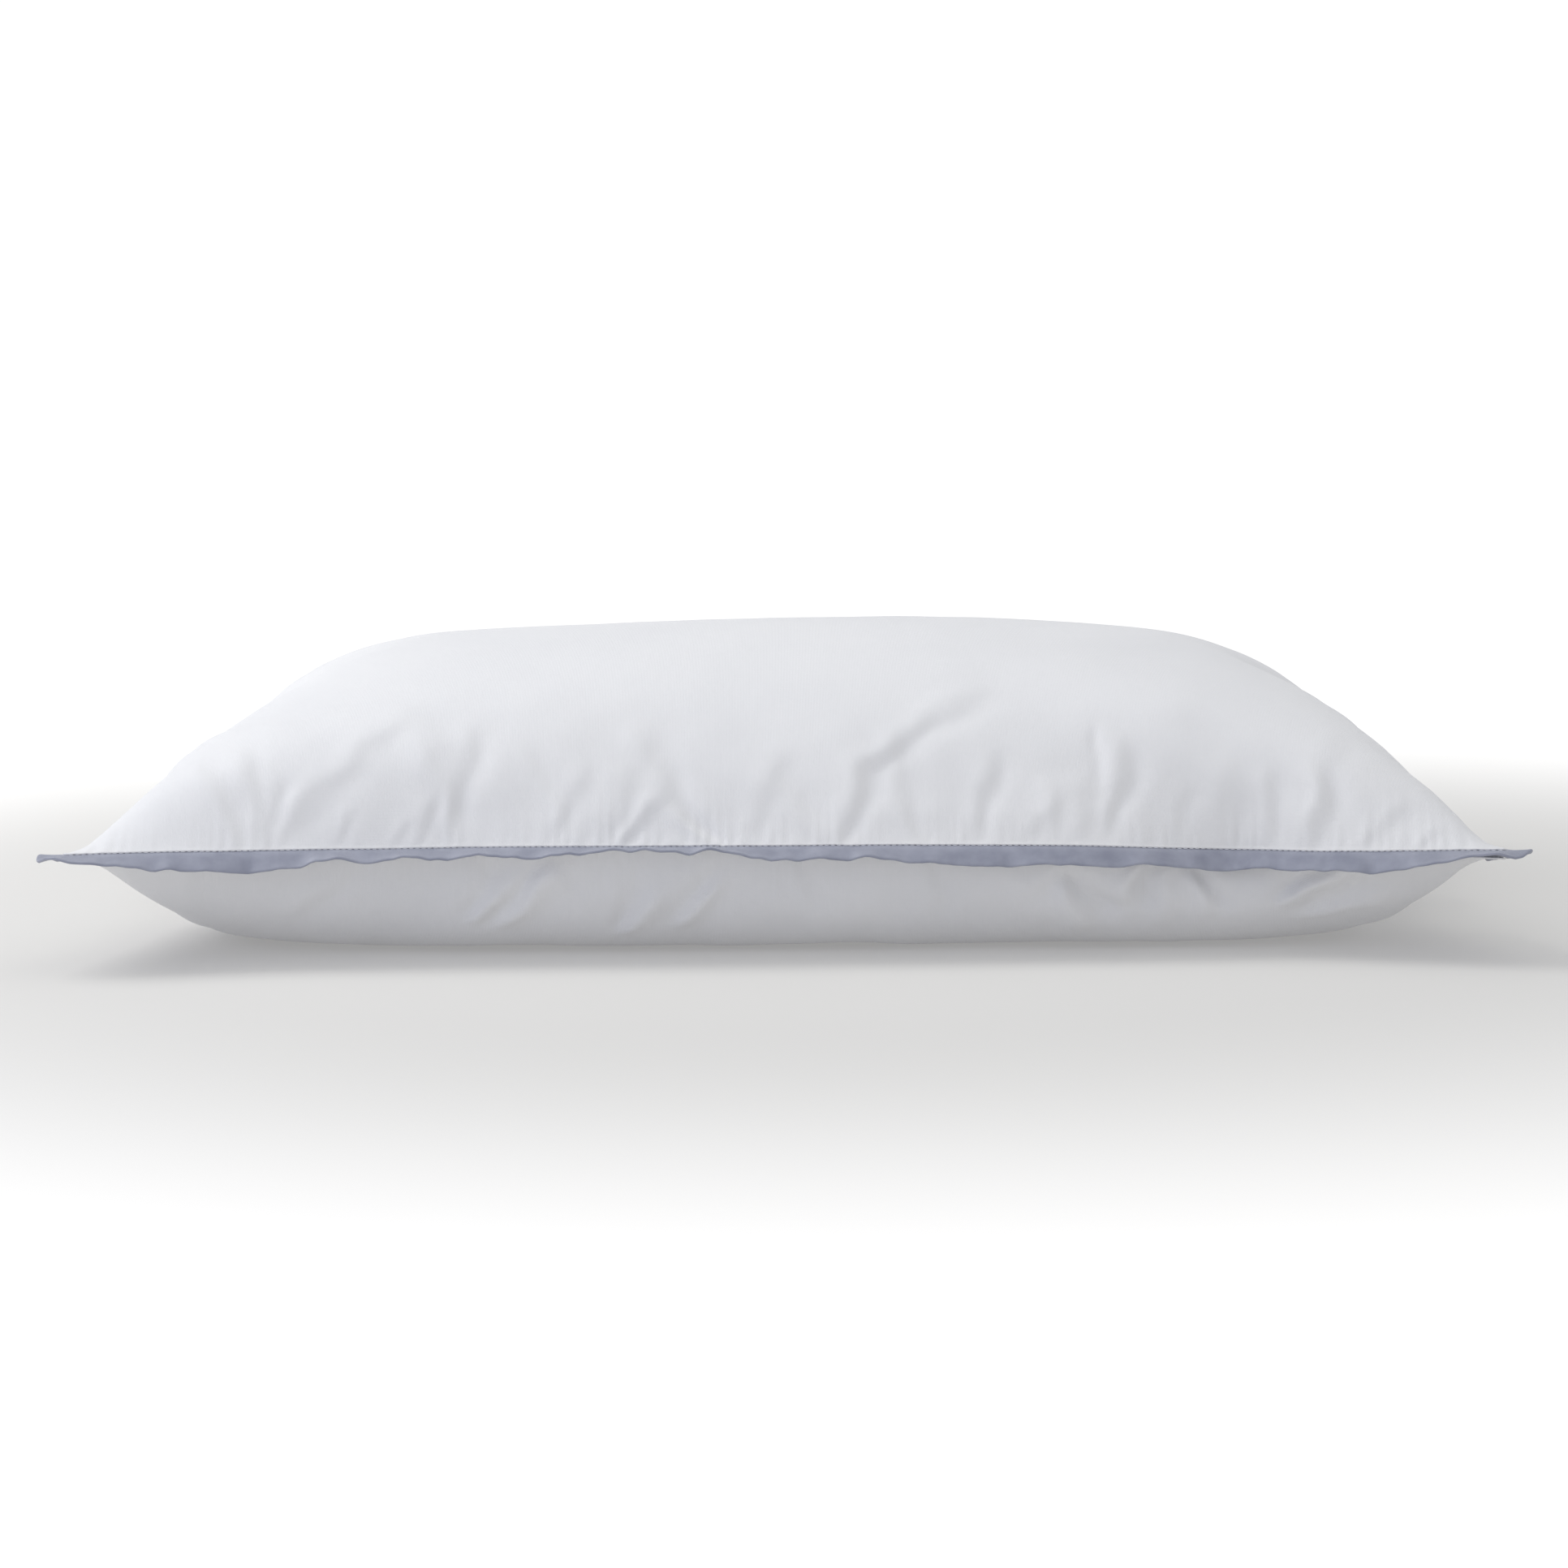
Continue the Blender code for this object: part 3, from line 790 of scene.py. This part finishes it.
def noise_between(tree, vector, scale, low, high, detail=3.0):
    """A colour that drifts between two, with patches of the scale given."""
    pattern = tree.nodes.new("ShaderNodeTexNoise")
    pattern.inputs["Scale"].default_value = scale
    pattern.inputs["Detail"].default_value = detail
    ramp = tree.nodes.new("ShaderNodeValToRGB")
    ramp.color_ramp.elements[0].position, ramp.color_ramp.elements[1].position = 0.3, 0.7
    ramp.color_ramp.elements[0].color = (*low, 1.0)
    ramp.color_ramp.elements[1].color = (*high, 1.0)
    tree.links.new(vector, pattern.inputs["Vector"])
    tree.links.new(pattern.outputs["Fac"], ramp.inputs["Fac"])
    return ramp.outputs["Color"]


def threads(tree, vector, pitch, direction, distortion=0.0):
    """Parallel threads across the direction ("X" or "Y"), as a height from 0 to 1."""
    wave = tree.nodes.new("ShaderNodeTexWave")
    wave.wave_type = "BANDS"
    wave.bands_direction = direction
    wave.wave_profile = "SIN"
    # One unit of the wave texture's scale holds 20 / (2 pi) bands a metre
    wave.inputs["Scale"].default_value = 2.0 * math.pi / (20.0 * pitch)
    wave.inputs["Distortion"].default_value = distortion
    tree.links.new(vector, wave.inputs["Vector"])
    return wave.outputs["Fac"]


def math_node(tree, operation, first, second):
    """One step of arithmetic on two numbers or sockets."""
    node = tree.nodes.new("ShaderNodeMath")
    node.operation = operation
    for socket, value in zip(node.inputs, (first, second)):
        if isinstance(value, float):
            socket.default_value = value
        else:
            tree.links.new(value, socket)
    return node.outputs[0]


def bump(tree, shader, height, distance, strength=1.0):
    """Raise the surface by the height, scaled to a distance in metres."""
    node = tree.nodes.new("ShaderNodeBump")
    node.inputs["Strength"].default_value = strength
    node.inputs["Distance"].default_value = distance
    tree.links.new(height, node.inputs["Height"])
    tree.links.new(node.outputs["Normal"], shader.inputs["Normal"])


def woven(name, low, high, roughness, sheen, pitch, depth, specular=0.4):
    """Plain weave: crossing threads, with slight slubs and a slow drift of colour."""
    made, tree, shader, flat = new_material(name, roughness, sheen, specular)
    tree.links.new(noise_between(tree, flat, 9.0, low, high), shader.inputs["Base Color"])
    warp = threads(tree, flat, pitch, "X")
    weft = threads(tree, flat, pitch, "Y")
    slub = tree.nodes.new("ShaderNodeTexNoise")
    slub.inputs["Scale"].default_value = 260.0
    slub.inputs["Detail"].default_value = 4.0
    tree.links.new(flat, slub.inputs["Vector"])
    weave = math_node(tree, "MAXIMUM", warp, weft)
    height = math_node(tree, "ADD", weave, math_node(tree, "MULTIPLY", slub.outputs["Fac"], 1.5))
    bump(tree, shader, height, depth)
    return made


def satin(name, low, high):
    """Satin strip: long floats along the strip, a soft gloss, and the satin's colour with painted patches of
    shade standing in for its small waves.
    """
    made, tree, shader, flat = new_material(name, 0.42, 0.35, 0.5)
    shader.inputs["Sheen Roughness"].default_value = 0.3
    stretch = tree.nodes.new("ShaderNodeMapping")
    stretch.inputs["Scale"].default_value = (1.4, 1.5, 1.0)
    tree.links.new(flat, stretch.inputs["Vector"])
    # The colour drifts between low and high in patches: the satin's own colour, with painted shade in its
    # light and dark patches
    painted_shade_patches = noise_between(tree, stretch.outputs["Vector"], 60.0, low, high, detail=4.0)
    tree.links.new(painted_shade_patches, shader.inputs["Base Color"])
    floats = threads(tree, flat, pitch=0.0004, direction="Y", distortion=1.5)
    bump(tree, shader, floats, distance=0.00006)
    return made


def clumped(name, low, high, scale):
    """Loose filling: fine tangled fibres over soft clumps."""
    made, tree, shader, flat = new_material(name, 0.95, 0.5, 0.2)
    tree.links.new(noise_between(tree, flat, scale, low, high, 8.0), shader.inputs["Base Color"])
    fibres = tree.nodes.new("ShaderNodeTexNoise")
    fibres.inputs["Scale"].default_value = 6.0 * scale
    fibres.inputs["Detail"].default_value = 8.0
    fibres.inputs["Distortion"].default_value = 2.0
    tree.links.new(flat, fibres.inputs["Vector"])
    bump(tree, shader, fibres.outputs["Fac"], 0.0012)
    return made


def twisted_thread(name, colour):
    """Sewing thread: slanting plies, seen as fine bands."""
    made, tree, shader, _ = new_material(name, 0.5, 0.3, 0.4)
    shader.inputs["Base Color"].default_value = (*colour, 1.0)
    place_in_metres = tree.nodes.new("ShaderNodeTexCoord").outputs["Object"]
    bump(tree, shader, threads(tree, place_in_metres, 0.0005, "DIAGONAL"), 0.00008)
    return made


def floor_material():
    """Pale matt floor with a painted glow: dim under the pillow and bright further out, which paints a broad
    soft shadow round the pillow.
    """
    made = bpy.data.materials.new("studio_floor")
    made.use_nodes = True
    tree = made.node_tree
    shader = tree.nodes["Principled BSDF"]
    shader.inputs["Roughness"].default_value = 0.9
    shader.inputs["Specular IOR Level"].default_value = 0.1
    where = tree.nodes.new("ShaderNodeTexCoord").outputs["Object"]
    tint = noise_between(tree, where, 0.6, (0.495, 0.487, 0.474), (0.515, 0.507, 0.494))
    tree.links.new(tint, shader.inputs["Base Color"])
    shader.inputs["Emission Color"].default_value = (1.0, 1.0, 1.0, 1.0)
    distance = tree.nodes.new("ShaderNodeVectorMath")
    distance.operation = "LENGTH"
    tree.links.new(where, distance.inputs[0])
    # Painted light: the floor shines weakly near the pillow and strongly far out, a painted soft shadow
    # round it
    painted_glow = tree.nodes.new("ShaderNodeMapRange")
    painted_glow.interpolation_type = "SMOOTHSTEP"
    for socket, value in zip(("From Min", "From Max", "To Min", "To Max"), (*PAINTED_GLOW_REACH, *PAINTED_FLOOR_GLOW)):
        painted_glow.inputs[socket].default_value = value
    tree.links.new(distance.outputs["Value"], painted_glow.inputs["Value"])
    tree.links.new(painted_glow.outputs["Result"], shader.inputs["Emission Strength"])
    return made


# ---- Studio ----

def add_camera():
    """Nearly square-on to the front long side, a little above it."""
    distance, elevation, yaw, roll = 2.5, math.radians(6.14), math.radians(0.3), math.radians(0.45)
    aim = Vector((0.0, 0.0, 0.067))
    data = bpy.data.cameras.new("camera")
    data.sensor_width = 36.0
    frame_height = 0.869
    data.lens = 36.0 * distance / frame_height
    camera = bpy.data.objects.new("camera", data)
    bpy.context.scene.collection.objects.link(camera)
    level = math.cos(elevation)
    away = Vector((math.sin(yaw) * level, -math.cos(yaw) * level, math.sin(elevation)))
    camera.location = aim + away * distance
    camera.rotation_mode = "QUATERNION"
    look = (-away).to_track_quat("-Z", "Y")
    view_axis = Vector((0.0, 0.0, 1.0))
    camera.rotation_quaternion = look @ Quaternion(view_axis, -roll)
    bpy.context.scene.camera = camera


def add_backdrop():
    """A round floor whose rim rises gently, so that no horizon shows behind the pillow."""
    flat_radius, outer_radius, rise, rings, around = 3.0, 24.0, 0.008, 24, 96
    radii = np.linspace(0.0, 1.0, rings + 1)[1:] ** 1.6 * outer_radius
    heights = rise * np.clip(radii - flat_radius, 0.0, None) ** 2
    angles = np.linspace(0.0, 2 * math.pi, around, endpoint=False)
    points = [np.stack([r * np.cos(angles), r * np.sin(angles), np.full(around, h)], axis=-1)
              for r, h in zip(radii, heights)]
    points = np.concatenate([[[0.0, 0.0, 0.0]], *points])
    faces = ring_faces(rings, around, first=1, flip=True).tolist()
    faces += [(0, 1 + k, 1 + (k + 1) % around) for k in range(around)]
    mesh = bpy.data.meshes.new("studio_floor")
    mesh.from_pydata(points.tolist(), [], faces)
    mesh.shade_smooth()
    mesh.materials.append(floor_material())
    floor = bpy.data.objects.new("studio_floor", mesh)
    bpy.context.scene.collection.objects.link(floor)


def add_softbox(name, location, size, power, colour):
    """A round diffused lamp aimed at the pillow."""
    data = bpy.data.lights.new(name, "AREA")
    data.shape = "DISK"
    data.size = size
    data.energy = power
    data.color = colour
    light = bpy.data.objects.new(name, data)
    light.location = location
    light.rotation_euler = (Vector(location) - Vector((0.0, 0.0, 0.06))).to_track_quat("Z", "Y").to_euler()
    bpy.context.scene.collection.objects.link(light)


def add_studio():
    """A white dome, dimmer and bluer at its rim, a soft key light from the upper left and a weak fill."""
    scene = bpy.context.scene
    scene.view_settings.view_transform = "Standard"
    world = bpy.data.worlds.new("studio")
    world.use_nodes = True
    tree = world.node_tree
    background = tree.nodes["Background"]
    background.inputs["Strength"].default_value = 1.0
    split = tree.nodes.new("ShaderNodeSeparateXYZ")
    tree.links.new(tree.nodes.new("ShaderNodeTexCoord").outputs["Generated"], split.inputs["Vector"])
    ramp = tree.nodes.new("ShaderNodeValToRGB")
    rim, top = ramp.color_ramp.elements
    rim.position, top.position = 0.0, 1.0
    rim.color, top.color = (*DOME_RIM, 1.0), (*DOME_TOP, 1.0)
    tree.links.new(split.outputs["Z"], ramp.inputs["Fac"])
    tree.links.new(ramp.outputs["Color"], background.inputs["Color"])
    scene.world = world
    add_softbox("key", (-1.12, 0.22, 1.42), 1.2, KEY_POWER, (1.0, 1.0, 0.985))
    add_softbox("front_fill", (-1.30, -1.25, 0.62), 1.0, FILL_POWER, (0.52, 0.62, 1.0))
    add_backdrop()


# ---- Assembly ----

def shaped(upper, lower):
    """Raise the seam on the lower filling, fill out the shoulders, and let the back corners sink."""
    crown, seam = upper[..., 2].max(), upper[:, 0, 2].mean()
    upper, lower = upper.copy(), lower.copy()
    above = np.clip((upper[..., 2] - seam) / (crown - seam), 0.0, 1.0)
    below = np.clip(lower[..., 2] / seam, 0.0, 1.0)
    for grid, share in ((upper, 1.0 - above), (lower, below)):
        u = grid[..., 0] / (0.5 * FLAT_LENGTH)
        back = np.clip(grid[..., 1] / (0.5 * FLAT_WIDTH), 0.0, 1.0)
        grid[..., 2] += (SEAM_LIFT - SEAM_LEAN * u - CORNER_SAG * abs(u) ** 4) * share
        grid[..., 2] -= BACK_CORNER_SAG * back * abs(u) ** 6 * np.clip(grid[..., 2] / 0.03, 0.0, 1.0)
        grid[..., 0] *= 1.0 - BACK_TAPER * back
    along = upper[..., 0]
    shoulders = sum(height * np.exp(-((along - middle) / width) ** 2) for height, middle, width in SHOULDERS)
    ends = END_FULLNESS * 4.0 * above * (1.0 - above) * abs(along / (0.5 * FLAT_LENGTH)) ** 4
    upper[..., 2] += shoulders * above ** 0.5 * np.clip(1.5 - above, 0.0, 1.0) + ends
    return upper, lower


def dents(flat, seed):
    """Broad, shallow unevenness of the filling, stronger near the seam than over the crown."""
    away = edge_distance(flat)
    share = np.clip(away / 0.02, 0.0, 1.0) * (0.2 + 0.8 * np.exp(-(away / 0.08) ** 2))
    return share * (0.0022 * bumps(flat, 0.055, seed) + 0.0009 * bumps(flat, 0.024, seed + 1))


def creased(upper, lower):
    """Both panels on the finest grid, dented and creased, and the lower one resting flat on the floor."""
    upper, lower, flat = (finer(grid, FINISH_STEPS) for grid in (upper, lower, flat_grid(*COARSE)))
    surfaces = []
    for grid, up, table, seed in ((upper, 1, UPPER_CREASES, 51), (lower, -1, LOWER_CREASES, 61)):
        height = dents(flat, seed) + all_creases(flat, table, seed)
        surfaces.append(grid + normals(grid, up) * height[..., None])
    upper, lower = surfaces
    clear_of_floor = 0.0003
    lower[..., 2] = np.maximum(lower[..., 2], CAD_LOW[2] + clear_of_floor)
    return upper, lower, flat


def main():
    """Build the studio and the pillow."""
    add_camera()
    add_studio()
    cotton = woven("white_ticking", (0.785, 0.787, 0.805), (0.818, 0.819, 0.834),
                   roughness=0.62, sheen=0.15, pitch=0.0006, depth=0.00008)
    lining = woven("lining_cotton", (0.80, 0.79, 0.76), (0.85, 0.84, 0.82),
                   roughness=0.85, sheen=0.1, pitch=0.0008, depth=0.0001)
    # The satin's colour; the spread between these two paints patches of shade along the strip
    strip = satin("flange_satin", (0.250, 0.265, 0.340), (0.338, 0.353, 0.434))
    down = clumped("down", (0.84, 0.82, 0.78), (0.93, 0.92, 0.90), scale=60.0)
    feather = clumped("feather", (0.62, 0.59, 0.54), (0.82, 0.80, 0.76), scale=90.0)
    sewing_thread = twisted_thread("sewing_thread", (0.78, 0.79, 0.83))
    tape = woven("label_tape", (0.86, 0.86, 0.85), (0.90, 0.90, 0.89),
                 roughness=0.6, sheen=0.2, pitch=0.0005, depth=0.00008)

    upper, lower = simulate()
    upper, lower = shaped(*fit_to_frame(blurred(upper, RELAXED_CELLS), blurred(lower, RELAXED_CELLS)))
    add_inside(upper, lower, down, feather, lining, sewing_thread)
    upper, lower, flat = creased(upper, lower)

    path = seam_path(upper)
    top = place(add_panel("upper_cover", upper, flat, 1, cotton), "outer_cotton", "upper_ticking")
    under = place(add_panel("lower_cover", lower, flat, -1, cotton), "outer_cotton", "lower_ticking")

    flange = place(add_flange(path, strip), "satin", "satin_flange")

    needle, bobbin = add_seam_stitches(path, sewing_thread)
    place(needle, "cotton_thread", "seam_needle_thread")
    place(bobbin, "cotton_thread", "seam_bobbin_thread")
    place(add_closing_stitches(upper, sewing_thread), "cotton_thread", "closing_seam_thread")
    label = place(add_label(path, tape), "label_tape", "care_label")


main()
